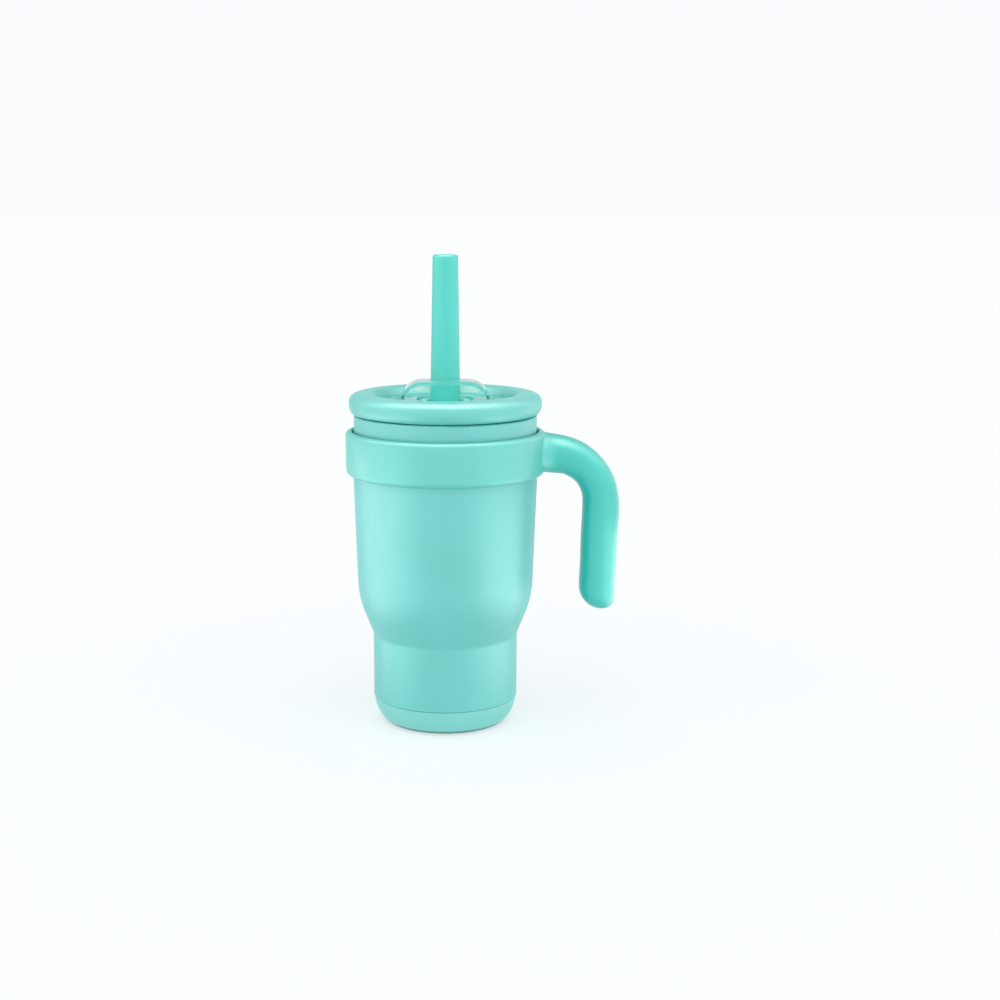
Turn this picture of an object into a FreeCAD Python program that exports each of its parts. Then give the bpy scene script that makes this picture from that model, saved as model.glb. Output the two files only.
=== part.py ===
"""Insulated straw cup with a side handle, a push-in lid and a turning clear cover.

Units are millimetres. The cup's axis is Z, the floor it stands on is z = 0, and the handle points along +X.
Each function below makes one piece and returns its solid; write_parts() saves one STEP file per piece.
"""
import FreeCAD, Part
import math
import os
from FreeCAD import Vector

# ---- driving dimensions: body -------------------------------------------------------------------
BODY_R = 40.0               # widest radius of the steel body, reached at BODY_TOP_Z
BODY_TOP_Z = 107.4          # above this the body is a straight cylinder
LOWER_R = 31.7              # slim lower part that fits a cup holder
KNEE_Z = 39.7               # where the lower part turns out into the cone
CONE_DEG = 21.8             # cone's lean from the vertical
TAPER_DEG = 2.04            # upper body's lean from the vertical
KNEE_ROUND = 3.0
SHOULDER_ROUND = 42.0
NECK_R = 39.67              # body above the handle's band
LIP_Z = 136.4               # top edge of the steel body
SHEET = 0.6                 # steel sheet
LINER_INSET = 2.8           # outer face of the liner, in from the outer face of the body
LINER_FLOOR_Z = 17.0
GROOVE_R = 39.2             # shallow rolled groove that holds the handle's band
GROOVE_Z = (113.0, 127.3)
FOOT_NECK_R = 28.2          # stepped-in foot of the shell, inside the base cap
FOOT_NECK_Z = 4.4
SEAM_Z = 11.5               # lower edge of the painted body

# ---- driving dimensions: base -------------------------------------------------------------------
CAP_SIDE_R = 31.28
CAP_ARC = 14.0              # big round of the cap's side
CAP_CORNER = 2.4            # small round at its lower edge
CAP_UNDER_Z = 0.3
FOOT_PAD_R = 24.0
FOOT_PAD_H = 1.5
CAP_FLOOR_Z = 2.8
CAP_RIB_R = (20.0, 22.0)     # locating rib under the steel foot

# ---- driving dimensions: handle -----------------------------------------------------------------
BAND_Z = (110.5, 129.5)
BAND_R = (43.15, 43.4)      # outer radius at the band's lower and upper edge
BAND_ROUND = (2.4, 2.1)     # of those two edges
BAND_BORE_R = 40.6
SLEEVE_R = 39.28            # bore of the soft sleeve, a running fit in the body's groove
ARM_OUTER_ARC = (45.2, 97.0, 30.7)   # centre x, centre z, radius of the arm's outer bend
ARM_INNER_ARC = (48.0, 98.8, 12.0)
GRIP_TOP_Z = 95.0
GRIP_OUTER_X = 75.95        # outer and inner face of the grip at GRIP_TOP_Z
GRIP_INNER_X = 59.95
GRIP_OUTER_SLOPE = 0.041    # how far each face leans in per mm of height
GRIP_INNER_SLOPE = 0.026
GRIP_HALF_DEPTH = 9.0
GRIP_TIP_Z = 50.7
TIP_OUTER_ROUND = 4.0
TIP_INNER_ROUND = 9.5
TIP_SIDE_ROUND = 6.0
ARM_ROUNDNESS = 2.5         # exponent of the arm's superellipse section

# ---- driving dimensions: lid --------------------------------------------------------------------
PLATE_Z = (136.7, 138.3)    # lid plate, lower and upper face
BORE_R = 9.0                # hole for the straw seal
BOSS_R = 11.2
BOSS_TOP_Z = 141.0
SEAL_TOP_Z = 142.6           # raised ring of the straw seal
SNAP_GROOVE_Z = (139.9, 140.7)
UPSTAND_R = (33.0, 35.0)
UPSTAND_Z = 142.0
SKIRT_R = (32.6, 35.1)
SKIRT_Z = 122.0
GASKET_Z = (126.0, 131.0)
GASKET_SEAT_R = 34.2
RIM_CREST_R = 34.5
RIM_CREST_Z = 145.98
RIM_WIDE_R = 41.83
RIM_WIDE_Z = 141.1
RIM_UNDER = (38.9, 136.6)   # where the rim's lower round would reach the neck
RIM_LOW_Z = 137.0
RIM_INNER_R = 29.6
RIM_INNER_Z = 141.4
VENT_Y = -20.0

# ---- driving dimensions: clear cover ------------------------------------------------------------
COVER_R = 28.0
COVER_CROWN_Z = 143.4
COVER_EDGE_Z = 142.2
COVER_LOW_Z = 138.6
CLEAR_WALL = 1.6
HUB_R = (12.6, 14.0)
HUB_BORE_R = 11.28          # running fit on the lid's boss
HOOD_HALF_X = 19.2
HOOD_HALF_Y = 9.4
HOOD_TOP_Z = 151.3
HOOD_ROUND = 9.2
HOOD_BACK_ROUND = 4.5
HOOD_WALL = 1.5
HOOD_FOOT_Z = 142.0
STRAW_HOLE_R = 6.9

# ---- driving dimensions: straw ------------------------------------------------------------------
STRAW_TOP_Z = 204.9
STRAW_TOP_R = 5.46
STRAW_TAPER = 0.0164        # radius gained per mm downwards
SPOUT_LOW_Z = 139.5
SPOUT_BORE_R = 3.2
TUBE_R = (3.0, 4.0)
TUBE_Z = (21.0, 157.0)


# ---- outline helpers ----------------------------------------------------------------------------
def at(r, z):
    """Point of a half section: radius along X, height along Z."""
    return Vector(r, 0, z)


def fillet_points(before, corner, after, radius):
    """Start, middle and end of the arc that rounds a corner."""
    to_before = (before - corner).normalize()
    to_after = (after - corner).normalize()
    half = to_before.getAngle(to_after) / 2
    tangent = radius / math.tan(half)
    towards_centre = (to_before + to_after).normalize()
    middle = corner + towards_centre * (radius / math.sin(half) - radius)
    return corner + to_before * tangent, middle, corner + to_after * tangent


def closed_outline(corners):
    """Wire through corners (r, z) or (r, z, round), in order, closed back to the first."""
    points = [at(c[0], c[1]) for c in corners]
    rounds = [c[2] if len(c) > 2 else 0 for c in corners]
    count = len(points)
    stops = []
    for i in range(count):
        if rounds[i]:
            stops.append(fillet_points(points[i - 1], points[i], points[(i + 1) % count], rounds[i]))
        else:
            stops.append((points[i],))
    edges = []
    for i in range(count):
        if len(stops[i]) == 3:
            edges.append(Part.Arc(*stops[i]).toShape())
        start, end = stops[i][-1], stops[(i + 1) % count][0]
        if start.distanceToPoint(end) > 1e-6:
            edges.append(Part.LineSegment(start, end).toShape())
    return Part.Wire(edges)


def turned(outline, degrees=360.0):
    """Solid of revolution about Z."""
    wire = closed_outline(outline) if isinstance(outline, list) else outline
    return Part.Face(wire).revolve(Vector(0, 0, 0), Vector(0, 0, 1), degrees)


def inset(path, thickness):
    """The open path moved sideways by thickness, to the left of its direction; rounds follow."""
    points = [at(p[0], p[1]) for p in path]
    rounds = [p[2] if len(p) > 2 else 0 for p in path]
    normals = []
    for a, b in zip(points, points[1:]):
        along = (b - a).normalize()
        normals.append(Vector(-along.z, 0, along.x))
    moved = []
    for i, point in enumerate(points):
        before = normals[max(i - 1, 0)]
        after = normals[min(i, len(normals) - 1)]
        middle = (before + after).normalize()
        shift = middle * (thickness / middle.dot(after))
        turns_left = before.z * after.x - before.x * after.z > 0
        new_round = rounds[i] + (-thickness if turns_left else thickness) if rounds[i] else 0
        moved.append((point.x + shift.x, point.z + shift.z, max(new_round, 0)))
    return moved


def body_wall(depth):
    """Knee, shoulder and top of the body's side, moved inwards by depth from its painted face."""
    cone = math.tan(math.radians(CONE_DEG))
    taper = math.tan(math.radians(TAPER_DEG))
    shoulder_z = (BODY_R - LOWER_R + cone * KNEE_Z - taper * BODY_TOP_Z) / (cone - taper)
    shoulder_r = LOWER_R + cone * (shoulder_z - KNEE_Z)
    path = [(LOWER_R, 0), (LOWER_R, KNEE_Z, KNEE_ROUND), (shoulder_r, shoulder_z, SHOULDER_ROUND),
            (BODY_R, BODY_TOP_Z), (BODY_R, LIP_Z)]
    return inset(path, depth)[1:4]


def cylinder(radius, z_low, z_high, x=0.0, y=0.0):
    return Part.makeCylinder(radius, z_high - z_low, Vector(x, y, z_low))


def superellipse_quarter(centre, reach_r, reach_z, exponent, steps):
    """Points from (centre + reach_r, centre z) to (centre r, centre + reach_z)."""
    points = []
    for i in range(steps + 1):
        angle = math.pi / 2 * i / steps
        r = centre[0] + reach_r * max(math.cos(angle), 0) ** (2 / exponent)
        z = centre[1] + reach_z * math.sin(angle) ** (2 / exponent)
        points.append(at(r, z))
    return points


def spline(points, start_tangent=None, end_tangent=None):
    curve = Part.BSplineCurve()
    if start_tangent:
        curve.interpolate(Points=points, InitialTangent=start_tangent, FinalTangent=end_tangent)
    else:
        curve.interpolate(points)
    return curve.toShape()


# ---- steel body ---------------------------------------------------------------------------------
def outer_shell():
    """Painted outer wall: one drawn tube with a stepped-in foot, a groove and a turned-in lip."""
    liner_face = BODY_R - LINER_INSET
    groove_low, groove_high = GROOVE_Z
    outside = [(FOOT_NECK_R, FOOT_NECK_Z), (FOOT_NECK_R, SEAM_Z), (LOWER_R, SEAM_Z, 0.3), *body_wall(0),
               (BODY_R, groove_low, 0.3), (GROOVE_R, groove_low), (GROOVE_R, groove_high),
               (NECK_R, groove_high), (NECK_R, LIP_Z, 0.7), (liner_face, LIP_Z)]
    inside = [(LOWER_R - SHEET, SEAM_Z + SHEET), *body_wall(SHEET), (BODY_R - SHEET, groove_low - SHEET),
              (GROOVE_R - SHEET, groove_low - SHEET), (GROOVE_R - SHEET, LIP_Z - SHEET),
              (liner_face, LIP_Z - SHEET)]
    foot = [(FOOT_NECK_R - SHEET, FOOT_NECK_Z), (FOOT_NECK_R - SHEET, SEAM_Z + SHEET)]
    return turned(outside + inside[::-1] + foot[::-1])


def inner_liner():
    """Brushed inner wall that holds the drink, welded to the shell's lip."""
    def side(depth, floor_z, corner):
        return [(0, floor_z), (LOWER_R - depth, floor_z, corner), *body_wall(depth), (BODY_R - depth, LIP_Z)]
    outside = side(LINER_INSET, LINER_FLOOR_Z - SHEET, 7.0)
    inside = side(LINER_INSET + SHEET, LINER_FLOOR_Z, 7.0 - SHEET)
    return turned(outside + inside[::-1])


def vacuum_base():
    """Pressed disc that closes the vacuum space, with a raised middle and its pump-out hole."""
    rim_r = FOOT_NECK_R - SHEET
    under = [(0.8, 6.2), (8.0, 6.2, 1.5), (13.0, FOOT_NECK_Z, 1.5), (rim_r, FOOT_NECK_Z, 1.6), (rim_r, 8.0)]
    return turned(under + inset(under, SHEET)[::-1])


def vacuum_seal_bead():
    """Solidified solder plug in the pump-out hole."""
    return turned([(0, 5.5), (2.2, 5.5, 0.5), (2.2, 6.2), (0.8, 6.2), (0.8, 7.0), (0, 7.0)])


def getter():
    """Small capsule that keeps the vacuum clean, fixed on the closing disc."""
    return cylinder(3.8, FOOT_NECK_Z + SHEET, FOOT_NECK_Z + SHEET + 1.4, x=19.0)


# ---- base ---------------------------------------------------------------------------------------
def base_cap():
    """Moulded cap pressed over the shell's foot; its side rounds in to the standing face."""
    big = at(CAP_SIDE_R - CAP_ARC, SEAM_Z - 0.1)
    drop = big.z - (CAP_UNDER_Z + CAP_CORNER)
    small = at(big.x + math.sqrt((CAP_ARC - CAP_CORNER) ** 2 - drop ** 2), CAP_UNDER_Z + CAP_CORNER)
    join_angle = math.atan2(small.z - big.z, small.x - big.x)

    def on(centre, radius, angle):
        return centre + Vector(radius * math.cos(angle), 0, radius * math.sin(angle))
    top_edge = at(CAP_SIDE_R, SEAM_Z - 0.2)
    join = on(big, CAP_ARC, join_angle)
    side = Part.Arc(top_edge, on(big, CAP_ARC, join_angle / 2), join).toShape()
    corner = Part.Arc(join, on(small, CAP_CORNER, (join_angle - math.pi / 2) / 2),
                      on(small, CAP_CORNER, -math.pi / 2)).toShape()
    rib_in, rib_out = CAP_RIB_R
    rest = [at(small.x, CAP_UNDER_Z), at(FOOT_PAD_R, CAP_UNDER_Z), at(FOOT_PAD_R, FOOT_PAD_H),
            at(0, FOOT_PAD_H), at(0, CAP_FLOOR_Z), at(rib_in, CAP_FLOOR_Z), at(rib_in, FOOT_NECK_Z),
            at(rib_out, FOOT_NECK_Z), at(rib_out, CAP_FLOOR_Z), at(FOOT_NECK_R, CAP_FLOOR_Z),
            at(FOOT_NECK_R, top_edge.z), top_edge]
    lines = [Part.LineSegment(a, b).toShape() for a, b in zip(rest, rest[1:])]
    return turned(Part.Wire([side, corner] + lines))


def foot_pad():
    """Soft disc in the cap's underside; the cup stands on it."""
    return turned([(0, 0), (FOOT_PAD_R, 0, 0.4), (FOOT_PAD_R, FOOT_PAD_H), (0, FOOT_PAD_H)])


# ---- handle -------------------------------------------------------------------------------------
def arm_section(outer, inner, half_depth):
    """Closed superellipse whose X-Z ends are outer and inner, and whose Y half width is half_depth."""
    middle = (outer + inner) * 0.5
    half = (outer - inner) * 0.5
    points = []
    for i in range(24):
        angle = 2 * math.pi * i / 24
        c, s = math.cos(angle), math.sin(angle)
        across = math.copysign(abs(c) ** (2 / ARM_ROUNDNESS), c)
        sideways = math.copysign(abs(s) ** (2 / ARM_ROUNDNESS), s)
        points.append(middle + half * across + Vector(0, half_depth * sideways, 0))
    curve = Part.BSplineCurve()
    curve.interpolate(points, PeriodicFlag=True)
    return Part.Wire(curve.toShape())


def grip_section(z):
    """Level section of the straight grip and its rounded tip."""
    outer_x = GRIP_OUTER_X - GRIP_OUTER_SLOPE * (GRIP_TOP_Z - z)
    inner_x = GRIP_INNER_X - GRIP_INNER_SLOPE * (GRIP_TOP_Z - z)
    half_depth = GRIP_HALF_DEPTH

    def cut_back(radius):
        into = max(GRIP_TIP_Z + radius - z, 0)
        return radius - math.sqrt(max(radius ** 2 - into ** 2, 0))
    return arm_section(at(outer_x - cut_back(TIP_OUTER_ROUND), z), at(inner_x + cut_back(TIP_INNER_ROUND), z),
                       half_depth - cut_back(TIP_SIDE_ROUND))


def handle_arm():
    sections = []
    for x, top, low, half_depth in [(41.5, 128.5, 111.3, 11.6), (43.6, 128.4, 111.2, 10.6),
                                    (45.6, 128.0, 111.0, 9.6)]:
        sections.append(arm_section(at(x, top), at(x, low), half_depth))
    for degrees in (82, 66, 50, 34, 18, 4):
        angle = math.radians(degrees)
        ends = []
        for cx, cz, radius in (ARM_OUTER_ARC, ARM_INNER_ARC):
            ends.append(at(cx + radius * math.cos(angle), cz + radius * math.sin(angle)))
        sections.append(arm_section(ends[0], ends[1], GRIP_HALF_DEPTH))
    sections += [grip_section(z) for z in (88.0, 76.0, 66.0)]
    tip_reach = TIP_INNER_ROUND
    for degrees in (0, 20, 38, 54, 67, 77):
        sections.append(grip_section(GRIP_TIP_Z + tip_reach * (1 - math.sin(math.radians(degrees)))))
    return Part.makeLoft(sections, True, False)


def handle_shell():
    """Band round the body and the hanging arm, one hard moulding."""
    low, high = BAND_Z
    clear_r = BODY_R + 0.3
    sleeve_low = GROOVE_Z[0] + 0.3
    band = turned([(clear_r, low, 0.3), (BAND_R[0], low, BAND_ROUND[0]), (BAND_R[1], high, BAND_ROUND[1]),
                   (BAND_BORE_R, high, 0.5), (BAND_BORE_R, sleeve_low), (clear_r, sleeve_low)])
    return band.fuse(handle_arm()).removeSplitter()


def band_liner():
    """Soft sleeve inside the band; it runs in the body's groove."""
    low, high = GROOVE_Z[0] + 0.3, GROOVE_Z[1] - 0.3
    return turned([(SLEEVE_R, low, 0.3), (BAND_BORE_R, low), (BAND_BORE_R, high), (SLEEVE_R, high, 0.3)])


# ---- lid ----------------------------------------------------------------------------------------
def lid_base():
    """Rigid lid: plate, upstand inside the soft rim, skirt with the gasket's seat, and the boss."""
    under, top = PLATE_Z
    groove_low, groove_high = SNAP_GROOVE_Z
    groove_r = BOSS_R - 0.75
    flange_r = 38.6
    boss_low_z = 133.0
    outline = [
        (BORE_R, boss_low_z), (BORE_R, BOSS_TOP_Z), (BOSS_R, BOSS_TOP_Z), (BOSS_R, groove_high),
        (groove_r, groove_high), (groove_r, groove_low), (BOSS_R, groove_low), (BOSS_R, top),
        (UPSTAND_R[0], top), (UPSTAND_R[0], UPSTAND_Z), (UPSTAND_R[1], UPSTAND_Z), (UPSTAND_R[1], top),
        (flange_r, top), (flange_r, under), (SKIRT_R[1], under, 0.4), (SKIRT_R[1], GASKET_Z[1]),
        (GASKET_SEAT_R, GASKET_Z[1]), (GASKET_SEAT_R, GASKET_Z[0]), (SKIRT_R[1], GASKET_Z[0]),
        (SKIRT_R[1], SKIRT_Z, 0.8), (SKIRT_R[0], SKIRT_Z, 0.8), (SKIRT_R[0], under, 2.0),
        (BORE_R + 2.0, under, 1.0), (BORE_R + 2.0, boss_low_z, 0.4)]
    return turned(outline).cut(cylinder(2.0, under - 1, top + 1, y=VENT_Y))


def lid_rim():
    """Soft rim moulded over the lid's upstand and flange."""
    under, top = PLATE_Z
    upper = superellipse_quarter((RIM_CREST_R, RIM_WIDE_Z), RIM_WIDE_R - RIM_CREST_R,
                                 RIM_CREST_Z - RIM_WIDE_Z, 2.8, 9)
    inner = superellipse_quarter((RIM_CREST_R, RIM_INNER_Z), RIM_INNER_R - RIM_CREST_R,
                                 RIM_CREST_Z - RIM_INNER_Z, 2.3, 9)
    crown = spline(upper + inner[-2::-1], Vector(0, 0, 1), Vector(0, 0, -1))
    span_r, span_z = RIM_WIDE_R - RIM_UNDER[0], RIM_WIDE_Z - RIM_UNDER[1]
    end_angle = math.asin((RIM_WIDE_Z - RIM_LOW_Z) / span_z)
    lower = []
    for i in range(7):
        angle = end_angle * i / 6
        lower.append(at(RIM_UNDER[0] + span_r * math.cos(angle), RIM_WIDE_Z - span_z * math.sin(angle)))
    belly_end = Vector(-span_r * math.sin(end_angle), 0, -span_z * math.cos(end_angle))
    belly = spline(lower, Vector(0, 0, -1), belly_end)
    seat = [inner[0], at(RIM_INNER_R, top), at(UPSTAND_R[0], top), at(UPSTAND_R[0], UPSTAND_Z),
            at(UPSTAND_R[1], UPSTAND_Z), at(UPSTAND_R[1], top), at(38.6, top), at(38.6, RIM_LOW_Z), lower[-1]]
    lines = [Part.LineSegment(a, b).toShape() for a, b in zip(seat, seat[1:])]
    return turned(Part.Wire([crown] + lines + [belly]))


def lid_gasket():
    """Two-lipped ring in the skirt's seat, sealing on the liner's mouth."""
    low, high = GASKET_Z
    body_r, lip_r = SKIRT_R[1], BODY_R - LINER_INSET - SHEET - 0.1
    outline = [(GASKET_SEAT_R, low)]
    for lip_low in (low, low + 2.5):
        outline += [(body_r, lip_low), (body_r, lip_low + 0.4), (lip_r, lip_low + 0.9, 0.2),
                    (lip_r, lip_low + 1.6, 0.2), (body_r, lip_low + 2.1)]
    outline += [(body_r, high), (GASKET_SEAT_R, high)]
    return turned(outline)


def straw_seal():
    """Grommet in the lid's boss: raised ring on top, thin wiping lip below."""
    return turned([(TUBE_R[1] + 0.1, 131.6), (10.4, 131.6, 0.6), (10.4, 133.0), (BORE_R, 133.0),
                   (BORE_R, BOSS_TOP_Z), (BOSS_R, BOSS_TOP_Z), (BOSS_R, SEAL_TOP_Z, 0.9), (7.8, SEAL_TOP_Z, 0.9),
                   (7.8, BOSS_TOP_Z), (7.2, BOSS_TOP_Z - 0.6), (7.2, 134.6, 1.5), (TUBE_R[1] + 0.1, 132.8)])


def vent_valve():
    """Soft air valve buttoned through the lid plate."""
    under, top = PLATE_Z
    valve = turned([(0.8, 134.4), (2.4, 134.9, 0.3), (2.8, under), (2.0, under), (2.0, top), (3.0, top),
                    (3.0, top + 0.5, 0.2), (0.8, top + 0.5)])
    valve.translate(Vector(0, VENT_Y, 0))
    return valve


def cover_snap_ring():
    """Split ring in the boss's groove; it keeps the clear cover down."""
    low, high = SNAP_GROOVE_Z
    gap_degrees = 36.0
    ring = turned([(BOSS_R - 0.7, low), (12.3, low), (12.3, high), (BOSS_R - 0.7, high)], 360 - gap_degrees)
    ring.rotate(Vector(0, 0, 0), Vector(0, 0, 1), 90 + gap_degrees / 2)
    return ring


# ---- clear cover --------------------------------------------------------------------------------
def crown_height(r):
    """Upper face of the cover's shallow dome at radius r."""
    return COVER_CROWN_Z - (COVER_CROWN_Z - COVER_EDGE_Z) * (r / COVER_R) ** 2


def hood():
    """Raised housing round the straw: open at the front, closed and rounded at the back."""
    def block(half_x, y_front, y_back, top_z, side_round, back_round):
        low_z = HOOD_FOOT_Z
        box = Part.makeBox(2 * half_x, y_back - y_front, top_z - low_z, Vector(-half_x, y_front, low_z))
        top_sides = [e for e in box.Edges if abs(e.CenterOfMass.z - top_z) < 1e-6
                     and abs(abs(e.CenterOfMass.x) - half_x) < 1e-6]
        box = box.makeFillet(side_round, top_sides)
        back = [e for e in box.Edges if abs(e.BoundBox.YMin - y_back) < 1e-6
                and abs(e.BoundBox.YMax - y_back) < 1e-6 and e.BoundBox.ZMax > low_z + 1e-6]
        return box.makeFillet(back_round, back)
    wall = HOOD_WALL
    outside = block(HOOD_HALF_X, -HOOD_HALF_Y, HOOD_HALF_Y, HOOD_TOP_Z, HOOD_ROUND, HOOD_BACK_ROUND)
    inside = block(HOOD_HALF_X - wall, -HOOD_HALF_Y - 1, HOOD_HALF_Y - wall, HOOD_TOP_Z - wall,
                   HOOD_ROUND - wall, HOOD_BACK_ROUND - wall)
    clear_of_seal = cylinder(HUB_R[0], HOOD_FOOT_Z - 1, crown_height(HUB_R[0]))
    return outside.cut([inside, clear_of_seal])


def rotating_cover():
    """Clear domed cover with the hood; its hub turns on the lid's boss."""
    hub_in, hub_out = HUB_R
    skirt_in = COVER_R - 1.4
    mid_r = (COVER_R + hub_in) / 2
    crown = Part.Arc(at(COVER_R, COVER_EDGE_Z), at(mid_r, crown_height(mid_r)),
                     at(hub_in, crown_height(hub_in))).toShape()
    ceiling = Part.Arc(at(hub_out, crown_height(hub_out) - CLEAR_WALL),
                       at(mid_r, crown_height(mid_r) - CLEAR_WALL),
                       at(skirt_in, crown_height(skirt_in) - CLEAR_WALL)).toShape()
    flange_top_z = SNAP_GROOVE_Z[0] - 0.1
    hub = [at(hub_in, crown_height(hub_in)), at(hub_in, flange_top_z), at(HUB_BORE_R, flange_top_z),
           at(HUB_BORE_R, COVER_LOW_Z), at(hub_out, COVER_LOW_Z),
           at(hub_out, crown_height(hub_out) - CLEAR_WALL)]
    edge = [at(skirt_in, crown_height(skirt_in) - CLEAR_WALL), at(skirt_in, COVER_LOW_Z),
            at(COVER_R, COVER_LOW_Z), at(COVER_R, COVER_EDGE_Z)]
    lines = [Part.LineSegment(a, b).toShape() for run in (hub, edge) for a, b in zip(run, run[1:])]
    disc = turned(Part.Wire(Part.__sortEdges__([crown, ceiling] + lines)))
    rim_edges = [e for e in disc.Edges if abs(e.BoundBox.ZMin - COVER_EDGE_Z) < 1e-6
                 and abs(e.BoundBox.ZMax - COVER_EDGE_Z) < 1e-6]
    disc = disc.makeFillet(0.6, rim_edges)
    pad_socket = cylinder(4.6, 139.5, 141.9, y=VENT_Y)
    pad_hole = cylinder(3.2, 139.0, 140.8, y=VENT_Y)
    cover = disc.fuse([hood(), pad_socket]).cut(pad_hole)
    return cover.cut(cylinder(STRAW_HOLE_R, HOOD_TOP_Z - 3, HOOD_TOP_Z + 3)).removeSplitter()


def cover_seal_pad():
    """Soft plug under the cover that shuts the vent while the cover is in its closed place."""
    pad = turned([(0, 138.9), (4.4, 138.9, 0.3), (4.4, 139.5), (3.2, 139.5), (3.2, 140.8), (0, 140.8)])
    pad.translate(Vector(0, VENT_Y, 0))
    return pad


# ---- straw --------------------------------------------------------------------------------------
def straw_spout():
    """Soft tapered mouthpiece with a socket for the stiff tube."""
    low_r = STRAW_TOP_R + STRAW_TAPER * (STRAW_TOP_Z - SPOUT_LOW_Z)
    socket_r, socket_z = TUBE_R[1], TUBE_Z[1]
    return turned([(socket_r, SPOUT_LOW_Z), (low_r, SPOUT_LOW_Z, 0.8), (STRAW_TOP_R, STRAW_TOP_Z, 1.1),
                   (SPOUT_BORE_R, STRAW_TOP_Z, 0.8), (SPOUT_BORE_R, socket_z), (socket_r, socket_z)])


def straw_tube():
    """Stiff lower straw, from the mouthpiece's socket down to near the liner's floor."""
    inner_r, outer_r = TUBE_R
    low, high = TUBE_Z
    return turned([(inner_r, low, 0.3), (outer_r, low, 0.3), (outer_r, high), (inner_r, high)])


PIECES = [outer_shell, inner_liner, vacuum_base, vacuum_seal_bead, getter, base_cap, foot_pad,
          handle_shell, band_liner,
          lid_base, lid_rim, lid_gasket, straw_seal, vent_valve, cover_snap_ring,
          rotating_cover, cover_seal_pad,
          straw_spout, straw_tube]


def write_parts():
    os.makedirs("parts", exist_ok=True)
    for piece in PIECES:
        shape = piece()
        box = shape.BoundBox
        print(f"{piece.__name__:18s} valid {shape.isValid()} solids {len(shape.Solids)} "
              f"volume {shape.Volume / 1000:8.3f} cm3  x {box.XMin:.2f} {box.XMax:.2f} "
              f"y {box.YMin:.2f} {box.YMax:.2f} z {box.ZMin:.2f} {box.ZMax:.2f}")
        shape.exportStep(f"parts/{piece.__name__}.step")


write_parts()
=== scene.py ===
"""Looks of the insulated straw cup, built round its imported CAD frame. Metres, +Z up, handle along +X."""
import math

import bpy
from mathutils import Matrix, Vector


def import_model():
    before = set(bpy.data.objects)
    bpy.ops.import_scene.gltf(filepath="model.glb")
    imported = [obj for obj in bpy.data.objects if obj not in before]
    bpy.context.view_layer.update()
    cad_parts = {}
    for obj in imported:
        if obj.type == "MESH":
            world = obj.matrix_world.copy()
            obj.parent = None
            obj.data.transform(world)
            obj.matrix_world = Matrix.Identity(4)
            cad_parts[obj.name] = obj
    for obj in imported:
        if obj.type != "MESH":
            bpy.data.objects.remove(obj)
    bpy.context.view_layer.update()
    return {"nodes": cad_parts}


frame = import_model()
nodes = frame["nodes"]

# ---- colours, as linear light -------------------------------------------------------------------
COAT_MINT = (0.097, 0.512, 0.477)
MOULD_MINT = (0.096, 0.550, 0.492)
# painted shade: the arm's deeper mint stands in for its weaker highlights
ARM_PAINTED_SHADE_MINT = (0.012, 0.490, 0.420)
RIM_MINT = (0.088, 0.525, 0.472)
CAP_MINT = (0.165, 0.615, 0.560)
SILICONE_MINT = (0.048, 0.590, 0.505)
LID_MINT = (0.140, 0.680, 0.620)
# painted reflection: teal on the hood's front edge, for the mint round it seen in the clear edge
EDGE_PAINTED_REFLECTION = (0.20, 0.80, 0.72)
# painted shade: colour of the cap's foot, standing in for the shadow in the gap above the floor
PAINTED_FOOT_SHADE = (0.010, 0.230, 0.215)
PALE_SILICONE = (0.20, 0.66, 0.60)
SLEEVE_MINT = (0.09, 0.45, 0.39)
STEEL = (0.58, 0.58, 0.57)
GREY_RUBBER = (0.50, 0.56, 0.55)
FLOOR_WHITE = (0.50, 0.505, 0.51)
RING_WHITE = (0.75, 0.85, 0.83)
CLEAR_TINT = (0.86, 0.985, 0.965)
TUBE_TINT = (0.75, 0.96, 0.93)
STUDIO_WHITE = (0.97, 0.985, 1.0)
BACKDROP = (0.950, 0.962, 0.980)

# ---- where a piece's finish, painted shade or painted reflection changes, metres: from where to where ---
ARM_X = (0.042, 0.048)       # the handle's band becomes the arm, where the painted shade sets in
FOOT_Z = (0.0014, 0.0021)    # the cap's painted shade at the foot fades out upwards
HAZE_Y = (0.0055, 0.0075)    # the hood's milky back sets in
EDGE_Y = (-0.00935, -0.0088)     # the painted reflection on the hood's front edge fades out backwards
HOOD_Z = (0.1445, 0.1460)    # the hood rises out of the disc
HAZE_CLEAR = 0.22            # how clear the milky back stays
EDGE_CLEAR = 0.45            # how clear the front edge stays, so its painted reflection shows

# ---- camera: where the cup is seen from ---------------------------------------------------------
CAMERA_AT = (0.0, -0.71942, 0.22668)
CAMERA_DOWN_DEG = 10.1
LENS_MM = 60.12
SENSOR_MM = 36.0
SIDE_SHIFT = 0.0547

# ---- floor --------------------------------------------------------------------------------------
FLOOR_HALF = 30.0
FLOOR_GLOW = 0.53

# ---- light: direction, cosines where the patch starts and is full, strength added ----------------
FILL_LIGHT = 0.79               # what matt surfaces gather, before the patches
FILL_PATCHES = [
    ((0.0, -1.0, 0.5), 0.0, 1.0, 0.42),         # front
]

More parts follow.
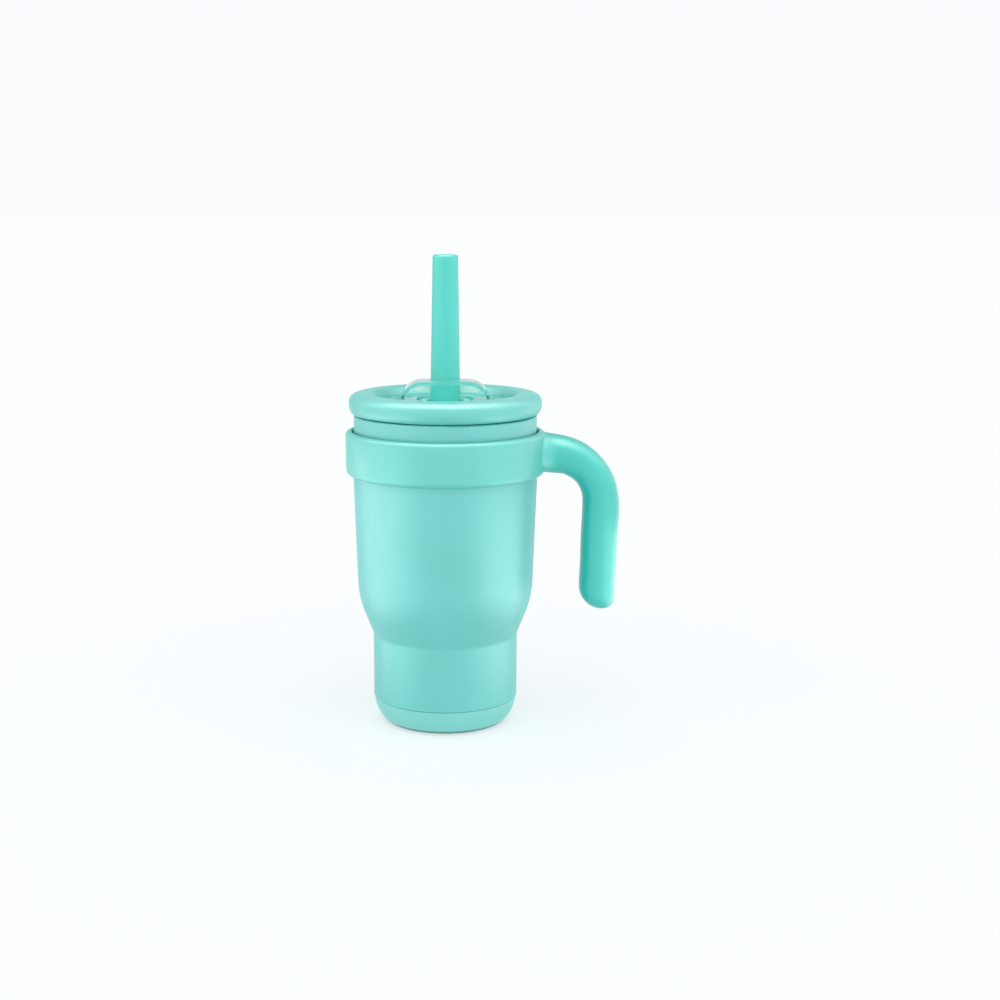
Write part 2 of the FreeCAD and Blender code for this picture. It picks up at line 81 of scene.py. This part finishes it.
# ---- softboxes seen only in gloss: place, where they face, width, height, radiance --------------
SOFTBOXES = {
    "left_box": ((-0.15, -0.10, 0.20), (1, 0, 0), 0.34, 0.40, 1.15),
    "right_box": ((0.16, -0.09, 0.20), (-1, 0, 0), 0.42, 0.40, 1.25),
    "front_box": ((0.0, -0.45, 0.22), (0, 1, 0), 0.30, 0.44, 0.8),
    "top_box": ((0.0, -0.10, 0.55), (0, 0, -1), 0.50, 0.50, 6.5),
    "left_low_box": ((-0.095, -0.05, 0.055), (1, 0, 0), 0.13, 0.11, 1.9),
    "right_low_box": ((0.095, -0.045, 0.04), (-1, 0, 0), 0.12, 0.08, 2.0),
    "left_high_box": ((-0.28, -0.08, 0.36), (1, 0, -0.8), 0.34, 0.30, 2.6),
    "right_high_box": ((0.28, -0.08, 0.36), (-1, 0, -0.8), 0.34, 0.30, 1.6),
}


# ---- node helpers -------------------------------------------------------------------------------
class Tree:
    """A material's node tree with short calls for the nodes used here."""

    def __init__(self, name):
        self.material = bpy.data.materials.new(name)
        self.material.use_nodes = True
        self.nodes = self.material.node_tree.nodes
        self.links = self.material.node_tree.links
        self.shader = self.nodes["Principled BSDF"]
        self.output = self.nodes["Material Output"]
        self.place = self.add("ShaderNodeTexCoord").outputs["Object"]

    def add(self, kind, **settings):
        node = self.nodes.new(kind)
        for key, value in settings.items():
            setattr(node, key, value)
        return node

    def link(self, a, b):
        self.links.new(a, b)

    def set(self, **sockets):
        for key, value in sockets.items():
            name = key.replace("_", " ")
            self.shader.inputs[name].default_value = (*value, 1.0) if isinstance(value, tuple) else value

    def stretched(self, scale):
        mapping = self.add("ShaderNodeMapping")
        mapping.inputs["Scale"].default_value = scale
        self.link(self.place, mapping.inputs["Vector"])
        return mapping.outputs["Vector"]

    def noise(self, size_m, detail=3.0, rough=0.5, vector=None):
        node = self.add("ShaderNodeTexNoise")
        node.inputs["Scale"].default_value = 1.0 / size_m
        node.inputs["Detail"].default_value = detail
        node.inputs["Roughness"].default_value = rough
        self.link(vector or self.place, node.inputs["Vector"])
        return node.outputs["Fac"]

    def mapped(self, value, low, high, start=0.3, end=0.7):
        node = self.add("ShaderNodeMapRange")
        node.inputs["From Min"].default_value = start
        node.inputs["From Max"].default_value = end
        node.inputs["To Min"].default_value = low
        node.inputs["To Max"].default_value = high
        self.link(value, node.inputs["Value"])
        return node.outputs["Result"]

    def axis(self, letter):
        """The X, Y or Z of each point, in metres."""
        node = self.add("ShaderNodeSeparateXYZ")
        self.link(self.place, node.inputs[0])
        return node.outputs[letter]

    def math(self, operation, first, second):
        node = self.add("ShaderNodeMath", operation=operation)
        self.link(first, node.inputs[0])
        self.link(second, node.inputs[1])
        return node.outputs["Value"]

    def recolour(self, factor, colour):
        """Lay a colour, plain or from a node, over the base colour where factor is 1."""
        base = self.shader.inputs["Base Color"]
        mix = self.add("ShaderNodeMix", data_type="RGBA")
        self.link(factor, mix.inputs["Factor"])
        self.link(base.links[0].from_socket, mix.inputs["A"])
        if isinstance(colour, tuple):
            mix.inputs["B"].default_value = (*colour, 1)
        else:
            self.link(colour, mix.inputs["B"])
        self.link(mix.outputs["Result"], base)

    def tinted(self, value, colour, spread):
        """Base colour that drifts by +-spread with value."""
        mix = self.add("ShaderNodeMix", data_type="RGBA")
        mix.inputs["A"].default_value = (*[c * (1 - spread) for c in colour], 1)
        mix.inputs["B"].default_value = (*[min(c * (1 + spread), 1) for c in colour], 1)
        self.link(self.mapped(value, 0, 1), mix.inputs["Factor"])
        return mix.outputs["Result"]

    def bump(self, height, depth_m, below=None):
        node = self.add("ShaderNodeBump")
        node.inputs["Distance"].default_value = depth_m
        node.inputs["Strength"].default_value = 1.0
        self.link(height, node.inputs["Height"])
        if below:
            self.link(below, node.inputs["Normal"])
        return node.outputs["Normal"]


def surface(name, colour, rough, grain_m, grain_depth_m, drift=0.03, specular=1.0, soft=0.0, also=None):
    """A moulded or coated surface: grain, slow colour drift and uneven gloss."""
    t = Tree(name)
    t.set(Base_Color=colour, Roughness=rough, Specular_IOR_Level=specular)
    if soft:
        t.set(Subsurface_Weight=soft, Subsurface_Scale=0.0015, Subsurface_Radius=[0.6, 1.0, 0.9])
    t.link(t.tinted(t.noise(0.03, 2), colour, drift), t.shader.inputs["Base Color"])
    t.link(t.mapped(t.noise(0.004, 4), rough - 0.05, rough + 0.05), t.shader.inputs["Roughness"])
    waviness = t.bump(t.noise(0.018, 1), 0.00008)
    t.link(t.bump(t.noise(grain_m, 2, 0.6), grain_depth_m, waviness), t.shader.inputs["Normal"])
    if also:
        also(t)
    return t.material


def paint_arm_shade(t):
    """Painted shade: the moulding's colour goes a touch deeper from the band (near the axis) out along the
    arm, standing in for the arm's weaker highlights.
    """
    away = t.mapped(t.axis("X"), 0.0, 1.0, *ARM_X)
    t.recolour(away, t.tinted(t.noise(0.03, 2), ARM_PAINTED_SHADE_MINT, 0.03))


def paint_foot_shade(t):
    """Painted shade: the cap's colour deepens in the last two millimetres above the floor, standing in for
    the shadow in the gap between cap and floor.
    """
    t.recolour(t.mapped(t.axis("Z"), 1.0, 0.0, *FOOT_Z), PAINTED_FOOT_SHADE)


def brushed_steel(name, rough, along):
    """Brushed steel with fine scratches; along stretches the grain (small number = long)."""
    t = Tree(name)
    t.set(Base_Color=STEEL, Metallic=1.0, Roughness=rough)
    lines = t.noise(0.0006, 4, 0.7, t.stretched(along))
    t.link(t.tinted(lines, STEEL, 0.10), t.shader.inputs["Base Color"])
    t.link(t.mapped(lines, rough - 0.08, rough + 0.10), t.shader.inputs["Roughness"])
    t.link(t.bump(lines, 0.00001), t.shader.inputs["Normal"])
    return t.material


def clear_plastic(name, tint, rough, ior, haze_and_painted_edge=None):
    """Clear moulded plastic; lamps reach what is behind it. frost(t) gives how clear each place is."""
    t = Tree(name)
    t.set(Base_Color=tint, Roughness=rough, IOR=ior, Transmission_Weight=1.0)
    drift = t.tinted(t.noise(0.012, 2), tint, 0.012)
    t.link(drift, t.shader.inputs["Base Color"])
    t.link(t.mapped(t.noise(0.003, 4), rough * 0.6, rough * 1.6), t.shader.inputs["Roughness"])
    t.link(t.bump(t.noise(0.006, 1), 0.00003), t.shader.inputs["Normal"])
    if haze_and_painted_edge:
        t.link(haze_and_painted_edge(t), t.shader.inputs["Transmission Weight"])
    path = t.add("ShaderNodeLightPath")
    through = t.add("ShaderNodeBsdfTransparent")
    through.inputs["Color"].default_value = (*tint, 1)
    mix = t.add("ShaderNodeMixShader")
    t.link(path.outputs["Is Shadow Ray"], mix.inputs["Fac"])
    t.link(t.shader.outputs["BSDF"], mix.inputs[1])
    t.link(through.outputs["BSDF"], mix.inputs[2])
    t.link(mix.outputs["Shader"], t.output.inputs["Surface"])
    return t.material


def hood_haze_and_painted_edge(t):
    """The hood's rounded back is a little milky, and its front edge carries a painted reflection: teal
    standing in for the mint round it seen in the clear edge.
    """
    up = t.mapped(t.axis("Z"), 0.0, 1.0, *HOOD_Z)
    back = t.math("MULTIPLY", t.mapped(t.axis("Y"), 0.0, 1.0, *HAZE_Y), up)
    edge = t.math("MULTIPLY", t.mapped(t.axis("Y"), 1.0, 0.0, *EDGE_Y), up)
    # painted reflection on the front edge
    t.recolour(edge, EDGE_PAINTED_REFLECTION)
    return t.math("MINIMUM", t.mapped(back, 1.0, HAZE_CLEAR, 0.0, 1.0),
                  t.mapped(edge, 1.0, EDGE_CLEAR, 0.0, 1.0))


def paint(node, material):
    """Give the whole CAD mesh of a node one material."""
    mesh = nodes[node].data
    mesh.materials.clear()
    mesh.materials.append(material)
    for face in mesh.polygons:
        face.material_index = 0


def paint_all():
    coat = surface("powder_coat", COAT_MINT, 0.46, 0.00035, 0.00003)
    mould = surface("mint_plastic", MOULD_MINT, 0.42, 0.0006, 0.000012, specular=0.85, also=paint_arm_shade)
    cap = surface("cap_plastic", CAP_MINT, 0.42, 0.0006, 0.000012, also=paint_foot_shade)
    rim = surface("mint_soft_rim", RIM_MINT, 0.44, 0.0005, 0.000012, soft=0.05)
    silicone = surface("mint_silicone", SILICONE_MINT, 0.42, 0.0008, 0.00001, specular=0.7, soft=0.15)
    pale = surface("translucent_silicone", PALE_SILICONE, 0.35, 0.0008, 0.00001, soft=0.3)
    sleeve = surface("sleeve_rubber", SLEEVE_MINT, 0.6, 0.0006, 0.00002)
    rubber = surface("foot_rubber", GREY_RUBBER, 0.65, 0.0005, 0.00003)
    lid = surface("lid_plastic", LID_MINT, 0.32, 0.0006, 0.00001)
    ring = surface("ring_plastic", RING_WHITE, 0.35, 0.0006, 0.00001)
    clear = clear_plastic("clear_plastic", CLEAR_TINT, 0.05, 1.30, hood_haze_and_painted_edge)
    tube = clear_plastic("straw_plastic", TUBE_TINT, 0.12, 1.35)
    liner = brushed_steel("brushed_liner", 0.30, (1.0, 1.0, 14.0))
    raw = brushed_steel("raw_steel", 0.38, (1.0, 1.0, 1.0))
    solder = brushed_steel("solder", 0.45, (1.0, 1.0, 1.0))
    getter = brushed_steel("getter_capsule", 0.55, (1.0, 1.0, 1.0))
    for node, material in {
            "outer_shell": coat, "inner_liner": liner, "vacuum_base": raw, "vacuum_seal_bead": solder,
            "getter": getter, "base_cap": cap, "foot_pad": rubber, "handle_shell": mould,
            "band_liner": sleeve, "lid_base": lid, "lid_rim": rim, "lid_gasket": pale, "straw_seal": pale,
            "vent_valve": pale, "cover_snap_ring": ring, "rotating_cover": clear, "cover_seal_pad": pale,
            "straw_spout": silicone, "straw_tube": tube}.items():
        paint(node, material)


# ---- stage --------------------------------------------------------------------------------------
def floor():
    size = FLOOR_HALF
    mesh = bpy.data.meshes.new("floor")
    mesh.from_pydata([(-size, -size, 0), (size, -size, 0), (size, size, 0), (-size, size, 0)], [],
                     [(0, 1, 2, 3)])
    obj = bpy.data.objects.new("floor", mesh)
    bpy.context.scene.collection.objects.link(obj)
    t = Tree("floor_paper")
    t.set(Base_Color=FLOOR_WHITE, Roughness=0.7, Specular_IOR_Level=0.0,
          Emission_Color=STUDIO_WHITE, Emission_Strength=FLOOR_GLOW)
    t.link(t.tinted(t.noise(0.4, 2), FLOOR_WHITE, 0.004), t.shader.inputs["Base Color"])
    mesh.materials.append(t.material)


def world():
    """Even white studio all round, a little brighter in front; what is seen behind the cup is plain."""
    sky = bpy.data.worlds.new("studio")
    sky.use_nodes = True
    tree = sky.node_tree

    def add(kind, **settings):
        node = tree.nodes.new(kind)
        for key, value in settings.items():
            setattr(node, key, value)
        return node
    towards = add("ShaderNodeTexCoord").outputs["Generated"]

    def patch(direction, start, end, strength):
        """Smooth patch of light round a direction; start and end are cosines of its edge."""
        dot = add("ShaderNodeVectorMath", operation="DOT_PRODUCT")
        dot.inputs[1].default_value = Vector(direction).normalized()
        tree.links.new(towards, dot.inputs[0])
        ramp = add("ShaderNodeMapRange", interpolation_type="SMOOTHSTEP")
        ramp.inputs["From Min"].default_value = start
        ramp.inputs["From Max"].default_value = end
        ramp.inputs["To Max"].default_value = strength
        tree.links.new(dot.outputs["Value"], ramp.inputs["Value"])
        return ramp.outputs["Result"]

    def surround(level, places):
        """Even light of the given level plus its patches, as a background shader."""
        total = level
        for place in places:
            plus = add("ShaderNodeMath", operation="ADD")
            tree.links.new(patch(*place), plus.inputs[0])
            if total is level:
                plus.inputs[1].default_value = level
            else:
                tree.links.new(total, plus.inputs[1])
            total = plus.outputs["Value"]
        light = add("ShaderNodeBackground")
        light.inputs["Color"].default_value = (*STUDIO_WHITE, 1)
        tree.links.new(total, light.inputs["Strength"])
        return light.outputs["Background"]

    def choose(factor, first, second):
        mix = add("ShaderNodeMixShader")
        tree.links.new(factor, mix.inputs["Fac"])
        tree.links.new(first, mix.inputs[1])
        tree.links.new(second, mix.inputs[2])
        return mix.outputs["Shader"]
    path = add("ShaderNodeLightPath")
    light = surround(FILL_LIGHT, FILL_PATCHES)
    back = tree.nodes["Background"]
    back.inputs["Color"].default_value = (*BACKDROP, 1)
    seen = choose(path.outputs["Is Camera Ray"], light, back.outputs["Background"])
    tree.links.new(seen, tree.nodes["World Output"].inputs["Surface"])
    bpy.context.scene.world = sky


def softboxes():
    """Area lights that show only as highlights on glossy surfaces."""
    for name, (place, facing, width, height, radiance) in SOFTBOXES.items():
        data = bpy.data.lights.new(name, "AREA")
        data.shape = "RECTANGLE"
        data.size = width
        data.size_y = height
        data.energy = radiance * math.pi * width * height
        data.color = STUDIO_WHITE
        obj = bpy.data.objects.new(name, data)
        obj.location = place
        obj.rotation_euler = Vector(facing).to_track_quat("-Z", "Y").to_euler()
        obj.visible_camera = False
        obj.visible_diffuse = False
        obj.visible_transmission = False
        bpy.context.scene.collection.objects.link(obj)


def camera():
    data = bpy.data.cameras.new("camera")
    data.lens = LENS_MM
    data.sensor_width = SENSOR_MM
    data.shift_x = SIDE_SHIFT
    data.clip_start = 0.01
    obj = bpy.data.objects.new("camera", data)
    obj.location = CAMERA_AT
    obj.rotation_euler = (math.radians(90 - CAMERA_DOWN_DEG), 0, 0)
    bpy.context.scene.collection.objects.link(obj)
    bpy.context.scene.camera = obj


paint_all()
floor()
world()
softboxes()
camera()
bpy.context.scene.view_settings.view_transform = "Standard"
